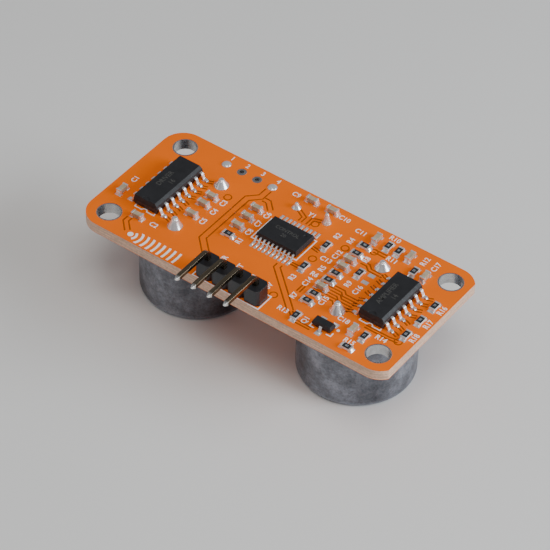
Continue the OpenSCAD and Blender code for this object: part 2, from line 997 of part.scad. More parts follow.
module screen() {
    reach = can_radius - can_lip;
    opening = screen_pitch - screen_wire;
    steps = floor(reach / screen_pitch);
    color("dimgray")
        translate([0, 0, -can_depth + can_wall])
            linear_extrude(screen_thickness)
                difference() {
                    circle(can_inside);
                    for (i = [-steps:steps], j = [-steps:steps])
                        if (norm([i, j]) * screen_pitch + opening * sqrt(2) / 2 < reach)
                            translate([i, j] * screen_pitch) square(opening, center = true);
                }
}

module cone() {
    mouth = plate_front - cone_height;
    color("silver")
        rotate_extrude()
            polygon([
                [0, plate_front],
                [cone_foot, plate_front],
                [cone_radius, mouth],
                [cone_radius - cone_wall, mouth],
                [cone_foot - cone_wall / 2, plate_front - cone_wall],
                [0, plate_front - cone_wall]
            ]);
}

module diaphragm() {
    color("goldenrod") translate([0, 0, plate_front]) cylinder(r = plate_radius, h = plate_thickness);
}

module piezo_disc() {
    color("gainsboro") translate([0, 0, plate_back]) cylinder(r = piezo_radius, h = piezo_thickness);
}

module damping_ring() {
    color("white")
        translate([0, 0, piezo_back])
            difference() {
                cylinder(r = damping_radius, h = damping_height);
                translate([0, 0, -past]) cylinder(r = damping_bore, h = damping_height + 2 * past);
            }
}

module at_terminals() {
    for (s = [-1, 1]) translate([0, s * terminal_pitch / 2, 0]) children();
}

module base() {
    color("#2a2a2a")
        translate([0, 0, base_front])
            difference() {
                cylinder(r = can_inside, h = base_thickness);
                translate([0, 0, -past])
                    at_terminals() cylinder(r = terminal_radius, h = base_thickness + 2 * past);
            }
}

module terminals() {
    color(tin_colour)
        for (i = [0, 1])
            translate([0, (2 * i - 1) * terminal_pitch / 2, terminal_end])
                cylinder(r = terminal_radius, h = back_face + terminal_rises[i] - terminal_end);
}

// A lead wire: down from the terminal, inwards to wire_y, then down to level foot
module lead_wire(wire_y, foot) {
    from = terminal_pitch / 2;
    translate([0, from, wire_level + wire_turn])
        cylinder(r = wire_radius, h = terminal_end - wire_level - wire_turn);
    translate([0, from - wire_turn, wire_level + wire_turn])
        rotate([0, 90, 0]) rotate_extrude(angle = 90) translate([wire_turn, 0]) circle(wire_radius);
    translate([0, wire_y, wire_level]) rotate([-90, 0, 0])
        cylinder(r = wire_radius, h = from - wire_turn - wire_y);
    translate([0, wire_y, foot]) cylinder(r = wire_radius, h = wire_level - foot + wire_radius);
}

module lead_wires() {
    color("firebrick") {
        lead_wire(plate_wire_y, plate_back);
        mirror([0, 1, 0]) lead_wire(piezo_wire_y, piezo_back);
    }
}

module transmitter() {
    translate([transmitter_x, 0, 0]) children();
}

module receiver() {
    translate([receiver_x, 0, 0]) children();
}

board_laminate();
solder_mask_back();
solder_mask_front();
mounting_hole_plating();
through_hole_plating();
surface_mount_pads();
printed_outlines();
header_housing();
header_pins();
header_solder_joints();
programming_pad_solder();
driver_chip_body();
driver_chip_leads();
amplifier_chip_body();
amplifier_chip_leads();
controller_chip_body();
controller_chip_leads();
transistor_body();
transistor_leads();
chip_solder_joints();
resistor_cores();
resistor_overcoats();
resistor_terminals();
capacitor_bodies();
capacitor_terminals();
passive_solder_joints();
crystal_can();
crystal_base();
crystal_leads();
crystal_quartz();
crystal_solder_joints();
transducer_solder_joints();
transmitter() can();  // transmitter_can
transmitter() screen();  // transmitter_screen
transmitter() cone();  // transmitter_cone
transmitter() diaphragm();  // transmitter_diaphragm
transmitter() piezo_disc();  // transmitter_piezo_disc
transmitter() damping_ring();  // transmitter_damping_ring
transmitter() base();  // transmitter_base
transmitter() terminals();  // transmitter_terminals
transmitter() lead_wires();  // transmitter_lead_wires
receiver() can();  // receiver_can
receiver() screen();  // receiver_screen
receiver() cone();  // receiver_cone
receiver() diaphragm();  // receiver_diaphragm
receiver() piezo_disc();  // receiver_piezo_disc
receiver() damping_ring();  // receiver_damping_ring
receiver() base();  // receiver_base
receiver() terminals();  // receiver_terminals
receiver() lead_wires();  // receiver_lead_wires
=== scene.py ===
"""Looks of an ultrasonic distance sensor: its circuit board, the parts on it and its two transducers."""

import math
import random

import bmesh
import bpy
from bpy.props import FloatProperty, FloatVectorProperty, IntProperty, PointerProperty
from mathutils import Matrix, Vector


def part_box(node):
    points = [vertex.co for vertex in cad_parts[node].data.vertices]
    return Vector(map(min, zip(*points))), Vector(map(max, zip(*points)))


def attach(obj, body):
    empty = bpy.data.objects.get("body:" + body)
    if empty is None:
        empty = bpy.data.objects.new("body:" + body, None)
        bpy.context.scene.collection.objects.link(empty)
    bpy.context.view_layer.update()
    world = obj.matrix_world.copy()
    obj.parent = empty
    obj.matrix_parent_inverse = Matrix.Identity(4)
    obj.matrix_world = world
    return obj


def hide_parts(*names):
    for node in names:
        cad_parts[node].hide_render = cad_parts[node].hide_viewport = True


bl_info = {
    "name": "Ultrasonic distance sensor",
    "version": (1, 0, 0),
    "blender": (4, 5, 0),
    "location": "3D View > Sidebar > Sensor",
    "description": "Builds the visible pieces and finishes of an ultrasonic distance sensor",
    "category": "Object",
}

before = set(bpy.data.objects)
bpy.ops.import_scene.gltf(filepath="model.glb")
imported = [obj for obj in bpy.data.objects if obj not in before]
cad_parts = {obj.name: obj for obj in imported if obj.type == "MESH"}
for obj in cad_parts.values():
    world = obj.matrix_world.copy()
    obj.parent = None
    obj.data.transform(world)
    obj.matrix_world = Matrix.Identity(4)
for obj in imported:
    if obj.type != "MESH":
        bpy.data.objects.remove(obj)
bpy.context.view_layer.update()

MM = 0.001
BODY = "root"
COMPONENT_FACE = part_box("solder_mask_back")[1].z
FRONT_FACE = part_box("solder_mask_front")[0].z
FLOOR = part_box("transmitter_can")[0].z
TRANSDUCERS = ("transmitter", "receiver")
# Vertices closer than this are one vertex
WELD = 0.0005 * MM


# Sizes and colours that a user would change


def colour(label, text, value):
    return FloatVectorProperty(
        name=label, description=text, default=value, size=3, subtype="COLOR", min=0, max=1
    )


def size(label, text, value):
    return FloatProperty(name=label, description=text, default=value * MM, unit="LENGTH", subtype="DISTANCE")


class BoardSettings(bpy.types.PropertyGroup):
    mask: colour("Mask", "Colour of the solder mask over copper", (0.98, 0.17, 0.0))
    mask_deep: colour("Mask over laminate", "Colour of the mask with no copper below", (0.33, 0.07, 0.0))
    ink: colour("Ink", "Colour of the printed ink", (1.0, 0.98, 0.94))
    edge: colour("Edge", "Colour of the sawn laminate", (0.74, 0.47, 0.33))
    gap_width: size("Gap", "Width of the gap beside a track", 0.2)
    relief: size("Relief", "Height of tracks and ink above the mask", 0.012)
    letter_height: size("Letters", "Height of the printed letters", 0.8)


class MetalSettings(bpy.types.PropertyGroup):
    tin: colour("Tin", "Colour of solder and tinned leads", (0.92, 0.92, 0.92))
    aluminium: colour("Aluminium", "Colour of the cans", (0.21, 0.22, 0.25))
    pin: colour("Pins", "Colour of the header pins", (0.20, 0.16, 0.11))


class TransducerSettings(bpy.types.PropertyGroup):
    wire_pitch: size("Wire pitch", "Distance between the screen's wires", 1.2)
    wire_radius: size("Wire radius", "Radius of a screen wire", 0.12)
    around: IntProperty(name="Segments", description="Segments round a can", default=144, min=24, max=256)


class StageSettings(bpy.types.PropertyGroup):
    floor: colour("Floor", "Colour of the floor", (0.78, 0.77, 0.75))
    key: FloatProperty(name="Key light", description="Power of the key light", default=2.4, min=0)
    fill: FloatProperty(name="Fill light", description="Power of the fill light", default=0.16, min=0)
    world: FloatProperty(name="Surroundings", description="Strength of the surroundings", default=0.28, min=0)


def settings(name):
    return getattr(bpy.context.scene, name)


# Materials


class Finish:
    """A node material under construction. Patterns are on object coordinates, in cycles a metre."""

    def __init__(self, **fixed):
        self.material = bpy.data.materials.new("finish")
        self.material.use_nodes = True
        self.nodes = self.material.node_tree.nodes
        self.links = self.material.node_tree.links
        self.shader = self.nodes["Principled BSDF"]
        for socket, value in fixed.items():
            self.shader.inputs[socket.replace("_", " ")].default_value = value
        self.place = self.nodes.new("ShaderNodeTexCoord").outputs["Object"]

    def stretched(self, scale):
        mapping = self.nodes.new("ShaderNodeMapping")
        mapping.inputs["Scale"].default_value = scale
        self.links.new(self.place, mapping.inputs["Vector"])
        return mapping.outputs["Vector"]

    def noise(self, scale, detail=4.0, rough=0.55, stretch=(1, 1, 1)):
        node = self.nodes.new("ShaderNodeTexNoise")
        node.inputs["Scale"].default_value = scale
        node.inputs["Detail"].default_value = detail
        node.inputs["Roughness"].default_value = rough
        self.links.new(self.stretched(stretch), node.inputs["Vector"])
        return node.outputs["Fac"]

    def along(self, axis, low, high):
        split = self.nodes.new("ShaderNodeSeparateXYZ")
        self.links.new(self.place, split.inputs[0])
        return self.spread(split.outputs[axis], low, high, 0, 1)

    def spread(self, value, low, high, to_low, to_high):
        node = self.nodes.new("ShaderNodeMapRange")
        for socket, number in zip(("From Min", "From Max", "To Min", "To Max"), (low, high, to_low, to_high)):
            node.inputs[socket].default_value = number
        self.links.new(value, node.inputs["Value"])
        return node.outputs["Result"]

    def ramp(self, value, *stops):
        node = self.nodes.new("ShaderNodeValToRGB")
        ramp = node.color_ramp
        while len(ramp.elements) < len(stops):
            ramp.elements.new(0.5)
        for element, (where, tint) in zip(ramp.elements, stops):
            element.position = where
            element.color = (*tint, 1)
        self.links.new(value, node.inputs["Fac"])
        return node.outputs["Color"]

    def mixed(self, share, first, second, blend="MIX"):
        node = self.nodes.new("ShaderNodeMix")
        node.data_type = "RGBA"
        node.blend_type = blend
        for socket, value in zip((node.inputs[0], node.inputs[6], node.inputs[7]), (share, first, second)):
            if isinstance(value, bpy.types.NodeSocket):
                self.links.new(value, socket)
            else:
                socket.default_value = value
        return node.outputs[2]

    def tint(self, output):
        self.links.new(output, self.shader.inputs["Base Color"])

    def gloss(self, value, low, high):
        self.links.new(self.spread(value, 0.3, 0.7, low, high), self.shader.inputs["Roughness"])

    def bumps(self, value, depth, strength=1.0):
        node = self.nodes.new("ShaderNodeBump")
        node.inputs["Distance"].default_value = depth * MM
        node.inputs["Strength"].default_value = strength
        self.links.new(value, node.inputs["Height"])
        self.links.new(node.outputs["Normal"], self.shader.inputs["Normal"])


def shade(tint, share):
    return tuple(min(1.0, c * share) for c in tint)


def mottled(tint, spread, gloss, scale, bump_depth, **fixed):
    """A finish whose colour and gloss vary over patches, with a fine grain."""
    finish = Finish(**fixed)
    patches = finish.noise(scale)
    finish.tint(finish.ramp(patches, (0.3, shade(tint, 1 - spread)), (0.7, shade(tint, 1 + spread))))
    finish.gloss(finish.noise(scale * 3), *gloss)
    finish.bumps(finish.noise(scale * 12), bump_depth)
    return finish.material


def mask_material():
    board = settings("sensor_board")
    finish = Finish(Coat_Weight=0.06, Coat_Roughness=0.12, Specular_IOR_Level=0.1)
    patches = finish.noise(90, 3)
    finish.tint(finish.ramp(patches, (0.35, shade(board.mask, 0.93)), (0.65, tuple(board.mask))))
    finish.gloss(finish.noise(500), 0.30, 0.42)
    finish.bumps(finish.noise(1500, 2), 0.004)
    return finish.material


def gap_material():
    board = settings("sensor_board")
    finish = Finish(Coat_Weight=0.06, Coat_Roughness=0.15, Specular_IOR_Level=0.1)
    weave = finish.noise(1800, 2)
    finish.tint(finish.ramp(weave, (0.3, shade(board.mask_deep, 0.85)), (0.7, shade(board.mask_deep, 1.2))))
    finish.gloss(finish.noise(900), 0.32, 0.45)
    finish.bumps(weave, 0.004)
    return finish.material


def laminate_material():
    edge = settings("sensor_board").edge
    finish = Finish(Roughness=0.7)
    layers = finish.noise(1, 5, 0.6, (250, 250, 7000))
    fibres = finish.noise(3500, 3)
    base = finish.ramp(layers, (0.3, shade(edge, 0.78)), (0.5, tuple(edge)), (0.72, shade(edge, 1.35)))
    spots = finish.ramp(fibres, (0.35, (0.78, 0.78, 0.78)), (0.6, (1, 1, 1)))
    finish.tint(finish.mixed(1.0, base, spots, "MULTIPLY"))
    finish.gloss(fibres, 0.55, 0.8)
    finish.bumps(layers, 0.03)
    return finish.material


def ink_material():
    return mottled(settings("sensor_board").ink, 0.06, (0.5, 0.65), 1400, 0.006)


def tin_material():
    tin = settings("sensor_metal").tin
    finish = Finish(Metallic=0.72)
    patches = finish.noise(700, 3)
    finish.tint(finish.ramp(patches, (0.3, shade(tin, 0.85)), (0.65, shade(tin, 1.1))))
    finish.gloss(finish.noise(1500), 0.12, 0.28)
    finish.bumps(finish.noise(1300, 2), 0.004)
    return finish.material


def lead_material():
    return mottled(settings("sensor_metal").tin, 0.06, (0.24, 0.36), 1100, 0.002, Metallic=0.8)


def plating_material():
    tint = shade(settings("sensor_metal").tin, 0.55)
    return mottled(tint, 0.2, (0.2, 0.4), 900, 0.006, Metallic=1.0)


def pin_material():
    tint = settings("sensor_metal").pin
    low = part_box("header_pins")[0]
    finish = Finish(Metallic=1.0)
    # Painted highlight: near white over the last 0.7 mm of each pin, at its tip
    reach = finish.along("Y", low.y + 0.7 * MM, low.y + 0.15 * MM)
    drawn = finish.noise(1, 3, 0.5, (2500, 200, 2500))
    body = finish.ramp(drawn, (0.3, shade(tint, 0.7)), (0.7, shade(tint, 1.25)))
    finish.tint(finish.mixed(reach, body, (0.9, 0.9, 0.88, 1)))
    finish.gloss(drawn, 0.18, 0.32)
    finish.bumps(drawn, 0.004)
    return finish.material


def can_material():
    tint = settings("sensor_metal").aluminium
    finish = Finish(Metallic=0.9)
    stains = finish.noise(190, 9, 0.68)
    specks = finish.noise(3200, 4, 0.7)
    base = finish.ramp(stains, (0.36, shade(tint, 0.5)), (0.5, tuple(tint)), (0.62, shade(tint, 1.7)))
    dust = finish.ramp(specks, (0.34, (0.70, 0.70, 0.71)), (0.55, (1, 1, 1)))
    # Painted highlight: twice as light along the can's rounded front edge and lip, fading out over the lowest
    # millimetre next to the floor
    front_edge_highlight = finish.along("Z", FLOOR + 1.0 * MM, FLOOR + 0.1 * MM)
    with_edge_highlight = finish.mixed(front_edge_highlight, base, (*shade(tint, 2.0), 1))
    finish.tint(finish.mixed(1.0, with_edge_highlight, dust, "MULTIPLY"))
    finish.gloss(stains, 0.36, 0.58)
    finish.bumps(finish.noise(1, 3, 0.6, (2600, 2600, 180)), 0.015)
    return finish.material


def quartz_material():
    return mottled((0.85, 0.90, 0.92), 0.04, (0.2, 0.35), 900, 0.002, Alpha=0.6)


OWN_FINISHES = {
    "solder_mask": mask_material,
    "track_gap": gap_material,
    "laminate": laminate_material,
    "white_ink": ink_material,
    "tin": tin_material,
    "leads": lead_material,
    "hole_plating": plating_material,
    "pin_metal": pin_material,
    "can_aluminium": can_material,
    "quartz": quartz_material,
}
# Mottled finishes: colour, its spread, range of roughness, patches a metre and grain depth in millimetres
DULL_FINISHES = {
    "chip_marking": ((0.055, 0.054, 0.050), 0.3, (0.6, 0.75), 2500, 0.004),
    "value_marking": ((0.34, 0.36, 0.38), 0.15, (0.5, 0.65), 2500, 0.004),
    "chip_epoxy": ((0.012, 0.012, 0.014), 0.25, (0.42, 0.6), 700, 0.010),
    "header_plastic": ((0.012, 0.012, 0.015), 0.25, (0.28, 0.45), 900, 0.006),
    "alumina": ((0.80, 0.79, 0.74), 0.06, (0.4, 0.55), 2200, 0.006),
    "overcoat": ((0.020, 0.022, 0.026), 0.3, (0.25, 0.4), 1500, 0.006),
    "capacitor_ceramic": ((0.44, 0.35, 0.24), 0.25, (0.35, 0.5), 1500, 0.008),
    "piezo_ceramic": ((0.66, 0.64, 0.58), 0.1, (0.35, 0.5), 700, 0.004),
    "silicone": ((0.80, 0.80, 0.78), 0.06, (0.45, 0.6), 600, 0.010),
    "base_resin": ((0.03, 0.03, 0.03), 0.2, (0.4, 0.6), 600, 0.010),
    "wire_enamel": ((0.40, 0.06, 0.03), 0.15, (0.2, 0.3), 1200, 0.002),
}
METAL_FINISHES = {
    "drawn_steel": ((0.62, 0.62, 0.60), 0.1, (0.22, 0.38), 500, 0.004),
    "screen_wire": ((0.42, 0.42, 0.43), 0.14, (0.25, 0.42), 1300, 0.004),
    "cone_metal": ((0.74, 0.74, 0.76), 0.08, (0.24, 0.38), 500, 0.004),
    "plate_brass": ((0.66, 0.47, 0.20), 0.1, (0.25, 0.4), 500, 0.004),
}


def material(name):
    made = bpy.data.materials.get("finish_" + name)
    if made is None:
        if name in OWN_FINISHES:
            made = OWN_FINISHES[name]()
        elif name in DULL_FINISHES:
            made = mottled(*DULL_FINISHES[name])
        else:
            made = mottled(*METAL_FINISHES[name], Metallic=1.0)
        made.name = "finish_" + name
    return made


# Meshes and pieces


# Turns of edges in degrees: shaded smooth below, joined into one face below, and rounded above
SMOOTH_BELOW = 40
SMOOTH_BELOW_ON_BODIES = 12
SMOOTH_BELOW_ON_COPIES = 50
FLAT_BELOW = 0.5
ROUND_ABOVE = 35


def placed(name, data):
    """A new object in the scene."""
    made = bpy.data.objects.new(name, data)
    bpy.context.scene.collection.objects.link(made)
    return made


def new_piece(name, mesh, finish, replaced=()):
    """Adds a finished mesh to the object: its material, its body and what it stands for."""
    piece = placed(name, mesh)
    mesh.materials.clear()
    mesh.materials.append(material(finish))
    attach(piece, BODY)
    if replaced:
        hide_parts(*replaced)
    return piece


def smoothed(mesh, below):
    """Shades a mesh smooth, apart from the edges that turn by more than an angle in degrees."""
    mesh.shade_smooth()
    mesh.set_sharp_from_angle(angle=math.radians(below))
    return mesh


def mesh_from(bm, name, smooth_below=SMOOTH_BELOW):
    mesh = bpy.data.meshes.new(name)
    bm.to_mesh(mesh)
    bm.free()
    return smoothed(mesh, smooth_below)


def welded(node):
    """A bmesh copy of a CAD node whose triangles share their corners."""
    bm = bmesh.new()
    bm.from_mesh(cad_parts[node].data)
    bmesh.ops.remove_doubles(bm, verts=bm.verts, dist=WELD)
    return bm


def merged(node):
    """A bmesh copy of a CAD node with its triangles joined into whole faces."""
    bm = welded(node)
    bmesh.ops.dissolve_limit(bm, angle_limit=math.radians(FLAT_BELOW), verts=bm.verts, edges=bm.edges)
    return bm


def centre_of(low, high):
    """Centre of a box, seen from above."""
    return ((low.x + high.x) / 2, (low.y + high.y) / 2)


def solids(node):
    """Low and high corner of each separate solid of a CAD node, in a fixed order."""
    bm = welded(node)
    seen = set()
    boxes = []
    for start in bm.verts:
        if start in seen:
            continue
        group = [start]
        seen.add(start)
        for vert in group:
            for edge in vert.link_edges:
                other = edge.other_vert(vert)
                if other not in seen:
                    seen.add(other)
                    group.append(other)
        low = Vector([min(v.co[i] for v in group) for i in range(3)])
        high = Vector([max(v.co[i] for v in group) for i in range(3)])
        boxes.append((low, high))
    bm.free()
    return sorted(boxes, key=lambda b: tuple(round(c, 6) for c in b[0]))


def bevelled_copy(node, finish, radius):
    """Stands for a CAD node with the same shape and its sharp edges rounded."""
    smooth_below = SMOOTH_BELOW_ON_BODIES if node.endswith("_body") else SMOOTH_BELOW
    mesh = mesh_from(merged(node), node + "_rounded", smooth_below)
    piece = new_piece(node + "_rounded", mesh, finish, [node])
    bevel = piece.modifiers.new("edges", "BEVEL")
    bevel.width = radius * MM
    bevel.segments = 2
    bevel.limit_method = "ANGLE"
    bevel.angle_limit = math.radians(ROUND_ABOVE)
    bevel.use_clamp_overlap = True
    bevel.harden_normals = True
    return piece


def lathe(bm, profile, segments, centre=(0, 0), wobble=0.0, seed=0):
    """Turns a closed or pole-to-pole profile of (radius, height) about a vertical axis."""
    rng = random.Random(seed)
    phase = rng.uniform(0, math.tau)
    rings = []
    for radius, height in profile:
        if radius < 1e-9:
            rings.append([bm.verts.new((centre[0], centre[1], height))])
            continue
        ring = []
        for i in range(segments):
            angle = math.tau * i / segments
            bend = math.sin(2 * angle + phase) + 0.6 * math.sin(3 * angle + 2 * phase)
            r = radius * (1 + wobble * bend)
            x = centre[0] + r * math.cos(angle)
            ring.append(bm.verts.new((x, centre[1] + r * math.sin(angle), height)))
        rings.append(ring)
    faces = []
    for a, b in zip(rings, rings[1:]):
        for i in range(segments):
            j = (i + 1) % segments
            corners = []
            for vert in (a[i % len(a)], a[j % len(a)], b[j % len(b)], b[i % len(b)]):
                if vert not in corners:
                    corners.append(vert)
            if len(corners) > 2:
                faces.append(bm.faces.new(corners))
    bmesh.ops.recalc_face_normals(bm, faces=faces)


def closed_lathe(bm, profile, segments, centre=(0, 0)):
    """Turns a profile that closes on itself, as the section of a shell or ring."""
    lathe(bm, [*profile, profile[0]], segments, centre)
    bmesh.ops.remove_doubles(bm, verts=bm.verts, dist=WELD)
    bmesh.ops.recalc_face_normals(bm, faces=bm.faces)


def arc(x, y, radius, start, end, steps):
    angles = [math.radians(start + (end - start) * i / steps) for i in range(steps + 1)]
    return [(x + radius * math.cos(a), y + radius * math.sin(a)) for a in angles]


# Geometry Nodes


def tree_with(name, inputs):
    """A geometry node tree with a geometry input, the named inputs, and a geometry output."""
    tree = bpy.data.node_groups.new(name, "GeometryNodeTree")
    tree.interface.new_socket("Geometry", in_out="INPUT", socket_type="NodeSocketGeometry")
    for label, kind in inputs.items():
        tree.interface.new_socket(label, in_out="INPUT", socket_type="NodeSocket" + kind)
    tree.interface.new_socket("Geometry", in_out="OUTPUT", socket_type="NodeSocketGeometry")
    return tree, tree.nodes.new("NodeGroupInput"), tree.nodes.new("NodeGroupOutput")


def finish_tree(tree, geometry, given, end):
    """Ends a tree in Realize Instances and Set Material."""
    link = tree.links.new
    real = tree.nodes.new("GeometryNodeRealizeInstances")
    paint = tree.nodes.new("GeometryNodeSetMaterial")
    link(geometry, real.inputs["Geometry"])
    link(real.outputs["Geometry"], paint.inputs["Geometry"])
    link(given.outputs["Material"], paint.inputs["Material"])
    link(paint.outputs["Geometry"], end.inputs["Geometry"])


def grown_mesh(tree, start, values, name):
    """Runs a tree on a start mesh and returns the plain mesh that it makes."""
    holder = placed(name + "_holder", start)
    modifier = holder.modifiers.new("nodes", "NODES")
    modifier.node_group = tree
    for item in tree.interface.items_tree:
        if item.in_out == "INPUT" and item.name in values:
            modifier[item.identifier] = values[item.name]
    bpy.context.view_layer.update()
    evaluated = holder.evaluated_get(bpy.context.evaluated_depsgraph_get())
    mesh = bpy.data.meshes.new_from_object(evaluated)
    mesh.name = name
    bpy.data.objects.remove(holder)
    return mesh


def copies_tree():
    """Sets one piece on every point, turned and scaled by the point's own attributes."""
    tree = bpy.data.node_groups.get("copies")
    if tree:
        return tree
    tree, given, end = tree_with("copies", {"Piece": "Object", "Material": "Material"})
    link = tree.links.new
    piece = tree.nodes.new("GeometryNodeObjectInfo")
    put = tree.nodes.new("GeometryNodeInstanceOnPoints")
    link(given.outputs["Piece"], piece.inputs["Object"])
    link(given.outputs["Geometry"], put.inputs["Points"])
    link(piece.outputs["Geometry"], put.inputs["Instance"])
    for attribute, socket in (("turn", "Rotation"), ("size", "Scale")):
        read = tree.nodes.new("GeometryNodeInputNamedAttribute")
        read.data_type = "FLOAT_VECTOR"
        read.inputs["Name"].default_value = attribute
        link(read.outputs["Attribute"], put.inputs[socket])
    finish_tree(tree, put.outputs["Instances"], given, end)
    return tree


def copies(name, unit, places, finish, replaced=()):
    """A piece made of copies of a unit mesh. Each place is (position, turn about Z, size)."""
    points = bpy.data.meshes.new(name + "_points")
    points.from_pydata([tuple(p) for p, _, _ in places], [], [])
    turns = points.attributes.new("turn", "FLOAT_VECTOR", "POINT")
    sizes = points.attributes.new("size", "FLOAT_VECTOR", "POINT")
    for i, (_, turn, scale) in enumerate(places):
        turns.data[i].vector = (0, 0, turn)
        sizes.data[i].vector = scale
    holder = placed(name + "_unit", unit)
    mesh = grown_mesh(copies_tree(), points, {"Piece": holder, "Material": material(finish)}, name)
    bpy.data.objects.remove(holder)
    new_piece(name, smoothed(mesh, SMOOTH_BELOW_ON_COPIES), finish, replaced)


def swept_tree(name, section_type, sizes, upright=False):
    """Gives every edge chain of the start mesh a section, whose sizes are inputs of the tree."""
    tree, given, end = tree_with(name, {**sizes, "Material": "Material"})
    link = tree.links.new
    chain = tree.nodes.new("GeometryNodeMeshToCurve")
    section = tree.nodes.new(section_type)
    sweep = tree.nodes.new("GeometryNodeCurveToMesh")
    sweep.inputs["Fill Caps"].default_value = True
    link(given.outputs["Geometry"], chain.inputs["Mesh"])
    line = chain.outputs["Curve"]
    if upright:
        level = tree.nodes.new("GeometryNodeSetCurveNormal")
        level.mode = "Z_UP"
        link(line, level.inputs["Curve"])
        line = level.outputs["Curve"]
    for label in sizes:
        link(given.outputs[label], section.inputs[label])
    link(line, sweep.inputs["Curve"])
    link(section.outputs["Curve"], sweep.inputs["Profile Curve"])
    finish_tree(tree, sweep.outputs["Mesh"], given, end)
    return tree


def chain_mesh(name, chains):
    """A start mesh of open chains of points."""
    points = []
    edges = []
    for chain in chains:
        first = len(points)
        points += [tuple(p) for p in chain]
        edges += [(first + i, first + i + 1) for i in range(len(chain) - 1)]
    mesh = bpy.data.meshes.new(name)
    mesh.from_pydata(points, edges, [])
    return mesh


# Board


# Centre lines of the tracks that show through the mask, each with half its width, in millimetres
TRACKS = [
    (0.45, [(-7.45, 8.0), (-7.45, 6.3), (-8.75, 5.0), (-8.75, -4.6), (-6.2, -7.1)]),
    (0.35, [(-6.9, 6.15), (-6.1, 6.15), (-4.9, 4.95)]),
    (0.40, [(2.2, -2.6), (2.2, -3.2), (8.3, -8.6)]),
    (0.35, [(-18.7, -7.3), (-18.7, -8.1), (-17.4, -9.4)]),
    (0.20, [(3.2, -1.5), (4.4, -1.5)]),
    (0.20, [(3.6, 2.6), (4.8, 2.4)]),
    (0.25, [(-0.6, 5.6), (-0.6, 6.6), (-1.9, 7.3)]),
    (0.25, [(0.6, 5.6), (0.6, 6.9), (1.7, 7.3)]),
    (0.22, [(7.0, -3.9), (7.0, -5.2)]),
    (0.25, [(10.4, 6.9), (12.3, 6.9)]),
    (0.25, [(10.3, 4.2), (11.3, 4.2), (12.0, 3.6), (14.0, 3.6)]),
    (0.22, [(17.4, -5.1), (20.9, -5.1), (22.3, -4.9)]),
    (0.22, [(12.2, -9.7), (9.6, -9.7), (8.4, -8.6)]),
]
# The bundle of tracks between the column of small parts and the receiver's chip
BUNDLE_ROWS = [-3.7, -2.7, -1.7]
BUNDLE_START = 8.2
BUNDLE_BEND = 11.6
BUNDLE_END = 14.2
BUNDLE_SHIFT = 0.5
BUNDLE_HALF = 0.25
# Tracks that leave the leads of the two larger chips: how far they run and how much they slant
FAN_RUN = 0.9 * MM
FAN_SLANT = 0.25 * MM
FAN_HALF = 0.22
FAN_GROUPS = [("driver_chip", 1), ("amplifier_chip", -1), ("amplifier_chip", 1)]
VIA_RADIUS = 0.6 * MM
# Section of the gap round a via, in shares of its radius and height
VIA_SECTION = [(0.72, 0), (0.76, 0.8), (0.96, 0.8), (1.0, 0)]
COVERED_VIAS = [(4.9, 0.85), (1.3, 6.4), (10.5, 6.7), (7.1, 5.0), (4.9, -7.6), (22.3, -4.9), (-10.9, 3.6)]


def beside(points, distance):
    """The line that runs beside a line of points, at a signed distance."""
    line = [Vector(p) for p in points]
    found = []
    for i, point in enumerate(line):
        ahead = line[i + 1] - point if i < len(line) - 1 else point - line[i - 1]
        behind = point - line[i - 1] if i else ahead
        ahead = ahead.normalized()
        behind = behind.normalized()
        normal = Vector((-ahead.y - behind.y, ahead.x + behind.x)).normalized()
        stretch = max(0.5, normal.dot(Vector((-ahead.y, ahead.x))))
        found.append(point + normal * distance / stretch)
    return found


def bundle_tracks():
    """Parallel tracks that bend together once on the way."""
    found = []
    for y in BUNDLE_ROWS:
        lower = y - BUNDLE_SHIFT
        bend = (BUNDLE_BEND + BUNDLE_SHIFT, lower)
        found.append((BUNDLE_HALF, [(BUNDLE_START, y), (BUNDLE_BEND, y), bend, (BUNDLE_END, lower)]))
    return found


def fan_tracks():
    """A short track beyond the foot of each lead of the two larger chips, on the sides that have them."""
    found = []
    for chip, way in FAN_GROUPS:
        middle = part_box(chip + "_body")[0].lerp(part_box(chip + "_body")[1], 0.5)
        for low, high in solids(chip + "_leads"):
            if way * (low.x - middle.x) < 0:
                continue
            foot = high.x if way > 0 else low.x
            y = (low.y + high.y) / 2
            slant = FAN_SLANT if y > middle.y else -FAN_SLANT
            line = [
                (foot - way * FAN_SLANT, y),
                (foot + way * FAN_SLANT, y),
                (foot + way * FAN_RUN, y + slant),
            ]
            found.append((FAN_HALF, [(px / MM, py / MM) for px, py in line]))
    return found


def build_tracks():
    board = settings("sensor_board")
    z = COMPONENT_FACE + board.relief / 4
    chains = []
    for half, points in TRACKS + bundle_tracks() + fan_tracks():
        for side in (-1, 1):
            chains.append([(p.x * MM, p.y * MM, z) for p in beside(points, side * half)])
    values = {"Width": board.gap_width, "Height": board.relief / 2, "Material": material("track_gap")}
    section = "GeometryNodeCurvePrimitiveQuadrilateral"
    tree = swept_tree("strips", section, {"Width": "Float", "Height": "Float"}, upright=True)
    mesh = grown_mesh(tree, chain_mesh("track_lines", chains), values, "track_gaps")
    new_piece("track_gaps", mesh, "track_gap")
    build_vias(board.relief)


def build_vias(height):
    """Vias under the mask: each shows as the round gap about its copper ring."""
    bm = bmesh.new()
    closed_lathe(bm, VIA_SECTION, 28)
    spans = (VIA_RADIUS, VIA_RADIUS, height)
    places = [((x * MM, y * MM, COMPONENT_FACE), 0, spans) for x, y in COVERED_VIAS]
    copies("covered_vias", mesh_from(bm, "via"), places, "track_gap")


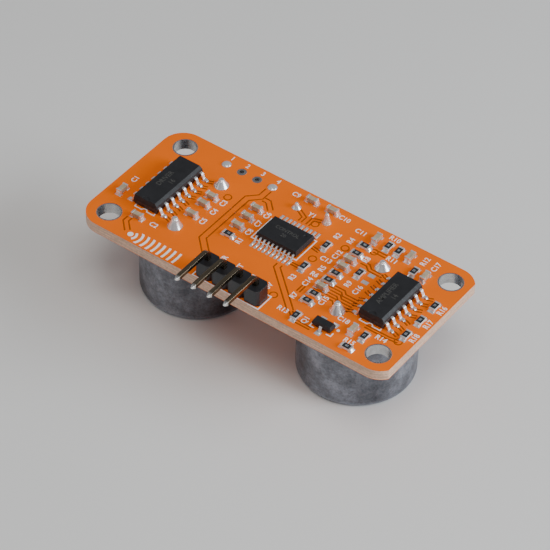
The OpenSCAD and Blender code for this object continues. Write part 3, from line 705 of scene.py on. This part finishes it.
# Labels beside the parts that they name: kind, x, y and quarter turns, in millimetres
PART_LABELS = [
    ("C", -22.8, -1.0, 1), ("C", -15.3, -6.6, 0), ("C", -10.6, 2.3, 1), ("C", -10.6, 0.2, 1),
    ("C", -10.6, -2.1, 1), ("C", -4.6, 3.9, 1), ("C", -4.6, 1.9, 1), ("C", -4.6, -0.1, 1),
    ("R", -4.6, -2.2, 1), ("C", -4.0, 9.5, 0), ("C", 3.8, 9.5, 0), ("Y", 0.0, 7.5, 0),
    ("R", 5.0, 6.3, 1), ("R", 4.9, -3.5, 1), ("C", 7.0, 8.7, 0), ("R", 6.9, 6.6, 1),
    ("C", 7.0, 3.4, 1), ("C", 6.4, 1.7, 0), ("R", 7.0, 0.1, 1), ("R", 6.8, -1.4, 0),
    ("C", 6.9, -3.0, 1), ("R", 7.0, -6.1, 1), ("R", 10.6, 4.9, 1), ("C", 10.6, -4.6, 1),
    ("R", 11.3, -0.2, 1), ("C", 12.9, -0.4, 1), ("R", 11.3, 10.3, 0), ("R", 13.2, 6.8, 0),
    ("R", 16.8, 9.2, 1), ("C", 18.5, 9.2, 1), ("Q", 10.8, -8.8, 1), ("R", 7.4, -9.0, 0),
    ("C", 14.6, -5.9, 0), ("R", 20.3, -5.8, 0), ("R", 17.4, -8.6, 0), ("R", 23.6, 3.0, 1),
    ("R", 23.6, -0.1, 1), ("R", 23.6, -3.2, 1),
]
PIN_LABELS = ["PWR", "OUT", "IN", "0V"]
PIN_LABEL_GAP = 1.6 * MM
PAD_LABEL_GAP = 0.725 * MM
PAD_COUNT = 4
# Plain words on the chip bodies: node, lines, letter height and quarter turns
CHIP_MARKS = [
    ("driver_chip_body", ["DRIVER", "16"], 0.75 * MM, 1),
    ("amplifier_chip_body", ["AMPLIFIER", "14"], 0.75 * MM, 1),
    ("controller_chip_body", ["CONTROL", "20"], 0.6 * MM, 0),
]
VALUE_HEIGHT = 0.34 * MM
LETTER_CAP = 0.72
LETTER_WIDTH = 0.92
LETTER_WEIGHT = 0.012
LETTER_DEPTH = 0.01
LINE_STEP = 1.5


def letters(text, height, where, quarter_turns, face=COMPONENT_FACE):
    """A mesh of plain raised letters, centred on a place on the component face or on another level face."""
    curve = bpy.data.curves.new("letters", "FONT")
    curve.body = text
    curve.size = 1
    curve.align_x = "CENTER"
    curve.align_y = "CENTER"
    curve.extrude = LETTER_DEPTH
    curve.offset = LETTER_WEIGHT
    curve.resolution_u = 3
    holder = placed("letters", curve)
    bpy.context.view_layer.update()
    mesh = bpy.data.meshes.new_from_object(holder.evaluated_get(bpy.context.evaluated_depsgraph_get()))
    bpy.data.objects.remove(holder)
    bpy.data.curves.remove(curve)
    relief = settings("sensor_board").relief
    across = height / LETTER_CAP
    place = Matrix.Translation((where[0], where[1], face + relief / 2))
    turn = Matrix.Rotation(quarter_turns * math.pi / 2, 4, "Z")
    spans = Matrix.Diagonal((across * LETTER_WIDTH, across, relief / (2 * LETTER_DEPTH), 1))
    mesh.transform(place @ turn @ spans)
    return mesh


def build_labels():
    height = settings("sensor_board").letter_height
    wanted = []
    counts = {}
    for kind, x, y, turns in PART_LABELS:
        counts[kind] = counts.get(kind, 0) + 1
        wanted.append((f"{kind}{counts[kind]}", height, (x * MM, y * MM), turns))
    for text, (low, high) in zip(PIN_LABELS, solids("header_pins")):
        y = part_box("header_housing")[1].y + PIN_LABEL_GAP
        wanted.append((text, height, ((low.x + high.x) / 2, y), 1))
    filled_low, filled_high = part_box("programming_pad_solder")
    ring = filled_high.y - filled_low.y
    pitch = (filled_high.x - filled_low.x - ring) / (PAD_COUNT - 1)
    first = filled_low.x + ring / 2
    for i in range(PAD_COUNT):
        wanted.append((str(i + 1), height, (first + i * pitch, filled_high.y + PAD_LABEL_GAP), 0))
    print_words("printed_labels", wanted, "white_ink")
    build_markings()


def print_words(name, words, finish):
    """A piece of several words. Each is (text, height, place, quarter turns) and may give its face."""
    bm = bmesh.new()
    for word in words:
        mesh = letters(*word)
        bm.from_mesh(mesh)
        bpy.data.meshes.remove(mesh)
    bmesh.ops.remove_doubles(bm, verts=bm.verts, dist=0.0001 * MM)
    new_piece(name, mesh_from(bm, name, 20), finish)


def build_markings():
    """Faint plain words on the chips, and two digits on each resistor."""
    words = []
    for node, lines, height, turns in CHIP_MARKS:
        low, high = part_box(node)
        for i, line in enumerate(lines):
            step = (0.5 * (len(lines) - 1) - i) * height * LINE_STEP
            place = Vector(centre_of(low, high))
            place += Vector((-step, 0)) if turns % 2 else Vector((0, step))
            words.append((line, height, place, turns, high.z))
    print_words("chip_markings", words, "chip_marking")
    digits = []
    for i, (low, high) in enumerate(solids("resistor_overcoats")):
        turns = int(high.y - low.y > high.x - low.x)
        digits.append((str(i % 9 + 1) + "0", VALUE_HEIGHT, centre_of(low, high), turns, high.z))
    print_words("value_markings", digits, "value_marking")


# Solder


def mound(name, steps_long=8, steps_wide=6, crown=0.35, hollow=1.7):
    """Unit solder fillet: full height at x = 0, down to nothing at x = 1, and half a unit to either side."""
    bm = bmesh.new()
    rows = []
    for i in range(steps_long + 1):
        u = i / steps_long
        row = []
        for j in range(steps_wide + 1):
            v = 2 * j / steps_wide - 1
            round_end = 1 - 0.25 * u**4
            rise = (1 - u) ** hollow * (1 - crown * v**2 - (1 - crown) * abs(v) ** 8)
            row.append(bm.verts.new((u, v / 2 * round_end, rise)))
        rows.append(row)
    base = [[bm.verts.new((v.co.x, v.co.y, 0)) for v in row] for row in rows]
    for grid, flip in ((rows, False), (base, True)):
        for i in range(steps_long):
            for j in range(steps_wide):
                face = [grid[i][j], grid[i + 1][j], grid[i + 1][j + 1], grid[i][j + 1]]
                bm.faces.new(face[::-1] if flip else face)
    for j in range(steps_wide):
        bm.faces.new([rows[0][j], rows[0][j + 1], base[0][j + 1], base[0][j]])
    bmesh.ops.remove_doubles(bm, verts=bm.verts, dist=1e-5)
    bmesh.ops.recalc_face_normals(bm, faces=bm.faces)
    return mesh_from(bm, name, 60)


def facing(low, high, centre):
    """Turn about Z of a small solid that lies outwards from a centre, by its nearest quarter."""
    away = (low + high) / 2 - centre
    if abs(away.x) > abs(away.y):
        return 0 if away.x > 0 else math.pi
    return math.pi / 2 if away.y > 0 else -math.pi / 2


def laid(low, high, centre):
    """Start, turn about Z and spans of a shape that lies outwards from a centre, in a solid's box."""
    turn = facing(low, high, centre)
    spans = high - low
    long, wide = (spans.x, spans.y) if abs(math.cos(turn)) > 0.5 else (spans.y, spans.x)
    back = Vector((-math.cos(turn), -math.sin(turn), 0)) * long / 2
    return Vector((*centre_of(low, high), low.z)) + back, turn, (long, wide, spans.z)


def fillet_places(wedges, centres, swell, rng):
    """Places of solder fillets that stand for wedge solids, each facing away from its part's centre."""
    places = []
    for (low, high), centre in zip(wedges, centres):
        start, turn, (long, wide, tall) = laid(low, high, centre)
        vary = rng.uniform(0.85, 1.0)
        places.append((start, turn, (long * vary, wide * swell, tall * vary)))
    return places


# How far along a lead its shoulder ends and its foot starts, and the metal's thickness
SHOULDER_END = 0.30
FOOT_START = 0.66
LEAD_METAL = {"driver_chip": 0.2, "amplifier_chip": 0.2, "controller_chip": 0.13, "transistor": 0.12}


def gull_wing(length, width, height, metal):
    """One lead, from the body at x = 0 down in a smooth double bend to a flat foot, lying along x."""
    steps = 14
    top = height - metal / 2
    middle = [(0, top)]
    for i in range(steps + 1):
        t = i / steps
        fall = t * t * (3 - 2 * t)
        along = SHOULDER_END + (FOOT_START - SHOULDER_END) * t
        middle.append((length * along, top - (top - metal / 2) * fall))
    middle.append((length, metal / 2))
    above = beside(middle, metal / 2)
    below = beside(middle, -metal / 2)
    bm = bmesh.new()
    rows = [[bm.verts.new((p.x, y, p.y)) for y in (-width / 2, width / 2)] for p in above + below[::-1]]
    for i, row in enumerate(rows):
        after = rows[(i + 1) % len(rows)]
        bm.faces.new([row[0], row[1], after[1], after[0]])
    count = len(middle)
    for side in (0, 1):
        for i in range(count - 1):
            far = len(rows) - 1 - i
            bm.faces.new([rows[i][side], rows[i + 1][side], rows[far - 1][side], rows[far][side]])
    bmesh.ops.recalc_face_normals(bm, faces=bm.faces)
    return mesh_from(bm, "gull_wing", 50)


def chip_middle(chip):
    """Centre of a chip's body, and whether its leads leave it along x."""
    body_low, body_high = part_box(chip + "_body")
    low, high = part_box(chip + "_leads")
    spill = (high - low) - (body_high - body_low)
    return (body_low + body_high) / 2, spill.x > spill.y


def root_of(low, high, middles):
    """The point level with a lead or its solder, on the middle line of the nearest chip."""
    place = (low + high) / 2
    centre, along_x = min(middles, key=lambda middle: (middle[0] - place).length)
    return Vector((centre.x, place.y, centre.z)) if along_x else Vector((place.x, centre.y, centre.z))


def build_leads():
    for chip, metal in LEAD_METAL.items():
        node = chip + "_leads"
        places = []
        for low, high in solids(node):
            start, turn, spans = laid(low, high, root_of(low, high, [chip_middle(chip)]))
            places.append((start, turn, (1, 1, 1)))
        copies(node + "_bent", gull_wing(*spans, metal * MM), places, "leads", [node])


def build_lead_solder():
    rng = random.Random(4)
    middles = [chip_middle(chip) for chip in LEAD_METAL]
    wedges = solids("chip_solder_joints")
    roots = [root_of(low, high, middles) for low, high in wedges]
    places = fillet_places(wedges, roots, 1.15, rng)
    copies("lead_fillets", mound("lead_fillet"), places, "tin", ["chip_solder_joints"])


HEAP_REACH = 3 * MM
HEAP_WIDER = 1.1
HEAP_TALLER = 1.25


def heaped(place):
    """The same fillet, larger if it is at one of the capacitors beside the crystal."""
    start, turn, (long, wide, tall) = place
    low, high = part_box("crystal_leads")
    near = low.x - HEAP_REACH < start.x < high.x + HEAP_REACH and start.y > high.y
    return (start, turn, (long, wide * HEAP_WIDER, tall * HEAP_TALLER)) if near else place


def build_end_solder():
    rng = random.Random(7)
    middles = [(low + high) / 2 for low, high in solids("resistor_cores") + solids("capacitor_bodies")]
    wedges = solids("passive_solder_joints")
    nearest = [min(middles, key=lambda c: (c - (low + high) / 2).length) for low, high in wedges]
    places = [heaped(place) for place in fillet_places(wedges, nearest, 1.1, rng)]
    unit = mound("end_fillet", crown=0.2, hollow=1.0)
    copies("end_fillets", unit, places, "tin", ["passive_solder_joints"])


# Height of a solder cone with the tip of its pin, and how far its section strays from a circle
CONE_TIP = 1.04
CONE_WOBBLE = 0.03


def joint_profile(pin, ring, low, rise, sign, hollow):
    """Section of a solder cone that climbs a pin: hollow at the foot, round at the shoulder."""
    steps = 12
    neck = pin * 1.15
    profile = [(0, low)]
    for i in range(steps + 1):
        t = i / steps
        radius = neck + (ring - neck) * (1 - t) ** hollow * (1 - 0.12 * t)
        profile.append((radius, low + sign * rise * t))
    profile.append((pin * 0.8, low + sign * rise * 1.03))
    profile.append((0, low + sign * rise * CONE_TIP))
    return profile


def build_pin_joints():
    """Solder cones of the transducers, the crystal and the header."""
    for node, pins, sign, hollow in (
        ("transducer_solder_joints", "transmitter_terminals", 1, 1.1),
        ("crystal_solder_joints", "crystal_leads", 1, 1.5),
        ("header_solder_joints", "header_pins", -1, 1.8),
    ):
        low_pin, high_pin = solids(pins)[0]
        pin = (high_pin.x - low_pin.x) / 2
        bm = bmesh.new()
        for i, (low, high) in enumerate(solids(node)):
            face, top = (COMPONENT_FACE, high.z) if sign > 0 else (FRONT_FACE, low.z)
            rise = abs(top - face) / CONE_TIP
            profile = joint_profile(pin, (high.x - low.x) / 2, face, rise, sign, hollow)
            lathe(bm, profile, 40, centre_of(low, high), CONE_WOBBLE, 11 * i + len(node))
        bmesh.ops.recalc_face_normals(bm, faces=bm.faces)
        new_piece(node + "_smooth", mesh_from(bm, node + "_smooth", 70), "tin", [node])


# Transducers


# Width of the lip round a can's mouth, radius of its front edge and size of its rear rim's bevels
CAN_LIP = 2.0 * MM
CAN_EDGE = 0.8 * MM
CAN_RIM = 0.12 * MM
CONE_WALL = 0.25 * MM
CONE_FOOT = 1.2 * MM
WIRE_SIDES = 8
STEPS_A_PITCH = 6


def can_profile(side):
    """Section of a can: wall, rounded front edge, rolled lip and bevelled rear rim."""
    low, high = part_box(side + "_can")
    outer = (high.x - low.x) / 2
    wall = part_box(side + "_screen")[0].z - low.z
    inner = outer - wall
    lip = outer - CAN_LIP
    edge = CAN_EDGE
    rim = CAN_RIM
    profile = [(inner, high.z - rim), (inner + rim, high.z), (outer - rim, high.z), (outer, high.z - rim)]
    profile += arc(outer - edge, low.z + edge, edge, 0, -90, 10)
    profile += arc(lip + wall / 2, low.z + wall / 2, wall / 2, -90, -270, 8)
    profile += [(inner, low.z + wall)]
    return profile


def build_cans():
    segments = settings("sensor_transducers").around
    for side in TRANSDUCERS:
        name = side + "_can_shell"
        bm = bmesh.new()
        closed_lathe(bm, can_profile(side), segments, centre_of(*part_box(side + "_can")))
        new_piece(name, mesh_from(bm, name), "can_aluminium", [side + "_can"])


def build_screens():
    """Plain-woven wire cloth, cut to a disc: each wire rises and dips over the ones it crosses."""
    look = settings("sensor_transducers")
    section = "GeometryNodeCurvePrimitiveCircle"
    tree = swept_tree("wires", section, {"Radius": "Float", "Resolution": "Int"})
    for side in TRANSDUCERS:
        low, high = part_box(side + "_screen")
        centre = (low + high) / 2
        reach = (high.x - low.x) / 2 - look.wire_radius
        swing = (high.z - low.z) / 2 - look.wire_radius
        count = int(reach / look.wire_pitch)
        chains = []
        for direction in (0, 1):
            for k in range(-count, count + 1):
                offset = k * look.wire_pitch
                half = math.sqrt(max(0, reach**2 - offset**2))
                steps = max(4, int(2 * half / look.wire_pitch * STEPS_A_PITCH))
                chain = []
                for i in range(steps + 1):
                    along = -half + 2 * half * i / steps
                    wave = math.cos(math.pi * along / look.wire_pitch + math.pi * (k + direction))
                    x, y = (along, offset) if direction == 0 else (offset, along)
                    chain.append((centre.x + x, centre.y + y, centre.z + swing * wave))
                chains.append(chain)
        name = side + "_wire_cloth"
        wire = material("screen_wire")
        values = {"Radius": look.wire_radius, "Resolution": WIRE_SIDES, "Material": wire}
        mesh = grown_mesh(tree, chain_mesh(side + "_wires", chains), values, name)
        mesh.shade_smooth()
        new_piece(name, mesh, "screen_wire", [side + "_screen"])


def build_cones():
    """Thin spun cones with a rounded mouth."""
    for side in TRANSDUCERS:
        name = side + "_cone_spun"
        low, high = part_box(side + "_cone")
        mouth = (high.x - low.x) / 2
        flare = [(0, high.z), (CONE_FOOT, high.z)]
        steps = 12
        for i in range(1, steps + 1):
            t = i / steps
            radius = CONE_FOOT + (mouth - CONE_FOOT) * t**0.85
            flare.append((radius, high.z + (low.z - high.z) * t))
        back = [(max(0.0, r - CONE_WALL), z - CONE_WALL * 0.3) for r, z in flare[:0:-1]]
        bm = bmesh.new()
        profile = flare + [(mouth - CONE_WALL / 2, low.z)] + back[1:] + [(0, high.z - CONE_WALL)]
        lathe(bm, profile, 96, centre_of(low, high))
        new_piece(name, mesh_from(bm, name, 50), "cone_metal", [side + "_cone"])


# Stage


CAMERA_TARGET = Vector((1.9, -3.18, 0)) * MM
CAMERA_AZIMUTH = math.radians(35.64)
CAMERA_ELEVATION = math.radians(43.63)
CAMERA_ROLL = math.radians(1.28)
CAMERA_DISTANCE = 353.5 * MM
CAMERA_LENS = 179.6
FLOOR_WIDTH = 6
# Lights: name, place, width and colour
LIGHTS = [
    ("key", (0.42, 0.14, 0.17), 0.30, (0.86, 0.93, 1.0)),
    ("overhead", (0.10, -0.12, 0.46), 0.26, (1.0, 0.98, 0.95)),
    ("fill", (-0.30, -0.34, 0.20), 0.30, (1.0, 0.95, 0.90)),
]
# Power of the overhead light, as a share of the key light's
OVERHEAD_SHARE = 0.46
WORLD_COLOUR = (0.82, 0.84, 0.88, 1)


def build_camera():
    a, e = CAMERA_AZIMUTH, CAMERA_ELEVATION
    back = Vector((math.sin(a) * math.cos(e), -math.cos(a) * math.cos(e), math.sin(e)))
    right = Vector((0, 0, 1)).cross(back).normalized()
    up = back.cross(right)
    turn = Matrix((right, up, back)).transposed() @ Matrix.Rotation(CAMERA_ROLL, 3, "Z")
    camera = bpy.data.cameras.new("camera")
    camera.lens = CAMERA_LENS
    camera.clip_start = 0.01
    holder = placed("camera", camera)
    holder.matrix_world = Matrix.Translation(CAMERA_TARGET + back * CAMERA_DISTANCE) @ turn.to_4x4()
    bpy.context.scene.camera = holder


def area_light(name, place, width, tint, power):
    light = bpy.data.lights.new(name, "AREA")
    light.size = width
    light.energy = power
    light.color = tint
    holder = placed(name, light)
    holder.location = place
    holder.rotation_mode = "QUATERNION"
    holder.rotation_quaternion = (-Vector(place)).to_track_quat("-Z", "Y")


def build_stage():
    look = settings("sensor_stage")
    build_camera()
    bpy.ops.mesh.primitive_plane_add(size=FLOOR_WIDTH, location=(0, 0, FLOOR))
    floor = bpy.context.object
    floor.name = "floor"
    sweep = Finish(Roughness=0.8)
    sweep.material.name = "studio_floor"
    patches = sweep.noise(30, 2)
    sweep.tint(sweep.ramp(patches, (0.3, shade(look.floor, 0.985)), (0.7, tuple(look.floor))))
    floor.data.materials.append(sweep.material)
    for light, power in zip(LIGHTS, (look.key, look.key * OVERHEAD_SHARE, look.fill)):
        area_light(*light, power)
    world = bpy.data.worlds.new("studio")
    world.use_nodes = True
    background = world.node_tree.nodes["Background"]
    background.inputs["Color"].default_value = WORLD_COLOUR
    background.inputs["Strength"].default_value = look.world
    bpy.context.scene.world = world


# Finishes of the CAD nodes that keep their own shape: node, finish
KEPT_NODES = {
    "board_laminate": "laminate",
    "solder_mask_back": "solder_mask",
    "solder_mask_front": "solder_mask",
    "mounting_hole_plating": "hole_plating",
    "through_hole_plating": "hole_plating",
    "surface_mount_pads": "tin",
    "printed_outlines": "white_ink",
    "programming_pad_solder": "tin",
    "crystal_quartz": "quartz",
}
KEPT_IN_EACH = {
    "_diaphragm": "plate_brass",
    "_piezo_disc": "piezo_ceramic",
    "_damping_ring": "silicone",
    "_base": "base_resin",
    "_lead_wires": "wire_enamel",
}
# Nodes whose edges are rounded: node, finish, edge radius in millimetres
ROUNDED_NODES = [
    ("header_housing", "header_plastic", 0.06),
    ("header_pins", "pin_metal", 0.05),
    ("driver_chip_body", "chip_epoxy", 0.05),
    ("amplifier_chip_body", "chip_epoxy", 0.05),
    ("controller_chip_body", "chip_epoxy", 0.04),
    ("transistor_body", "chip_epoxy", 0.04),
    ("transmitter_terminals", "leads", 0.12),
    ("receiver_terminals", "leads", 0.12),
    ("crystal_leads", "leads", 0.08),
    ("crystal_can", "drawn_steel", 0.18),
    ("crystal_base", "drawn_steel", 0.05),
]
PASSIVE_NODES = [
    ("resistor_cores", "alumina", 0.02),
    ("resistor_overcoats", "overcoat", 0.015),
    ("resistor_terminals", "tin", 0.02),
    ("capacitor_bodies", "capacitor_ceramic", 0.04),
    ("capacitor_terminals", "tin", 0.09),
]


def paint_kept():
    finishes = dict(KEPT_NODES)
    for side in TRANSDUCERS:
        for ending, finish in KEPT_IN_EACH.items():
            finishes[side + ending] = finish
    for node, finish in finishes.items():
        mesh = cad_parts[node].data
        mesh.materials.clear()
        mesh.materials.append(material(finish))


def round_edges():
    for row in ROUNDED_NODES:
        bevelled_copy(*row)


def round_passives():
    for row in PASSIVE_NODES:
        bevelled_copy(*row)


# Operators: one for each group of pieces


class BuildStep:
    """What every operator does: it runs its steps in order."""

    def execute(self, context):
        for step in self.steps:
            step()
        return {"FINISHED"}


class SENSOR_OT_stage(BuildStep, bpy.types.Operator):
    """Make the camera, the floor and the lights"""

    bl_idname = "sensor.stage"
    bl_label = "Stage"
    steps = [build_stage]


class SENSOR_OT_finishes(BuildStep, bpy.types.Operator):
    """Give the pieces that keep their CAD shape their materials"""

    bl_idname = "sensor.finishes"
    bl_label = "Board and inner pieces"
    steps = [paint_kept]


class SENSOR_OT_tracks(BuildStep, bpy.types.Operator):
    """Lay the track gaps and covered vias on the mask"""

    bl_idname = "sensor.tracks"
    bl_label = "Tracks"
    steps = [build_tracks]


class SENSOR_OT_labels(BuildStep, bpy.types.Operator):
    """Print the part labels, pin names, pad numbers and the marks on chips and resistors"""

    bl_idname = "sensor.labels"
    bl_label = "Labels"
    steps = [build_labels]


class SENSOR_OT_chips(BuildStep, bpy.types.Operator):
    """Round the edges of the chips, header, crystal and terminals, and bend the chips' leads"""

    bl_idname = "sensor.chips"
    bl_label = "Chips, header and crystal"
    steps = [round_edges, build_leads]


class SENSOR_OT_passives(BuildStep, bpy.types.Operator):
    """Round the edges of the chip resistors and capacitors"""

    bl_idname = "sensor.passives"
    bl_label = "Passives"
    steps = [round_passives]


class SENSOR_OT_solder(BuildStep, bpy.types.Operator):
    """Make the solder fillets and cones"""

    bl_idname = "sensor.solder"
    bl_label = "Solder"
    steps = [build_lead_solder, build_end_solder, build_pin_joints]


class SENSOR_OT_cans(BuildStep, bpy.types.Operator):
    """Make the drawn cans of the transducers"""

    bl_idname = "sensor.cans"
    bl_label = "Cans"
    steps = [build_cans]


class SENSOR_OT_screens(BuildStep, bpy.types.Operator):
    """Weave the wire screens of the transducers"""

    bl_idname = "sensor.screens"
    bl_label = "Screens"
    steps = [build_screens]


class SENSOR_OT_cones(BuildStep, bpy.types.Operator):
    """Make the spun cones behind the screens"""

    bl_idname = "sensor.cones"
    bl_label = "Cones"
    steps = [build_cones]


OPERATORS = [
    SENSOR_OT_stage,
    SENSOR_OT_finishes,
    SENSOR_OT_tracks,
    SENSOR_OT_labels,
    SENSOR_OT_chips,
    SENSOR_OT_passives,
    SENSOR_OT_solder,
    SENSOR_OT_cans,
    SENSOR_OT_screens,
    SENSOR_OT_cones,
]
SETTINGS = {
    "sensor_board": BoardSettings,
    "sensor_metal": MetalSettings,
    "sensor_transducers": TransducerSettings,
    "sensor_stage": StageSettings,
}


class SENSOR_PT_panel(bpy.types.Panel):
    """Sizes, colours and build steps of the sensor"""

    bl_label = "Ultrasonic distance sensor"
    bl_idname = "SENSOR_PT_panel"
    bl_space_type = "VIEW_3D"
    bl_region_type = "UI"
    bl_category = "Sensor"

    def draw(self, context):
        for name, group in SETTINGS.items():
            box = self.layout.box()
            for key in group.__annotations__:
                box.prop(getattr(context.scene, name), key)
        for operator in OPERATORS:
            self.layout.operator(operator.bl_idname)


def register():
    for name, group in SETTINGS.items():
        bpy.utils.register_class(group)
        setattr(bpy.types.Scene, name, PointerProperty(type=group))
    for operator in OPERATORS:
        bpy.utils.register_class(operator)
    bpy.utils.register_class(SENSOR_PT_panel)


def unregister():
    bpy.utils.unregister_class(SENSOR_PT_panel)
    for operator in reversed(OPERATORS):
        bpy.utils.unregister_class(operator)
    for name, group in SETTINGS.items():
        delattr(bpy.types.Scene, name)
        bpy.utils.unregister_class(group)


def main():
    register()
    bpy.ops.sensor.stage()
    bpy.ops.sensor.finishes()
    bpy.ops.sensor.tracks()
    bpy.ops.sensor.labels()
    bpy.ops.sensor.chips()
    bpy.ops.sensor.passives()
    bpy.ops.sensor.solder()
    bpy.ops.sensor.cans()
    bpy.ops.sensor.screens()
    bpy.ops.sensor.cones()


if __name__ == "__main__":
    main()
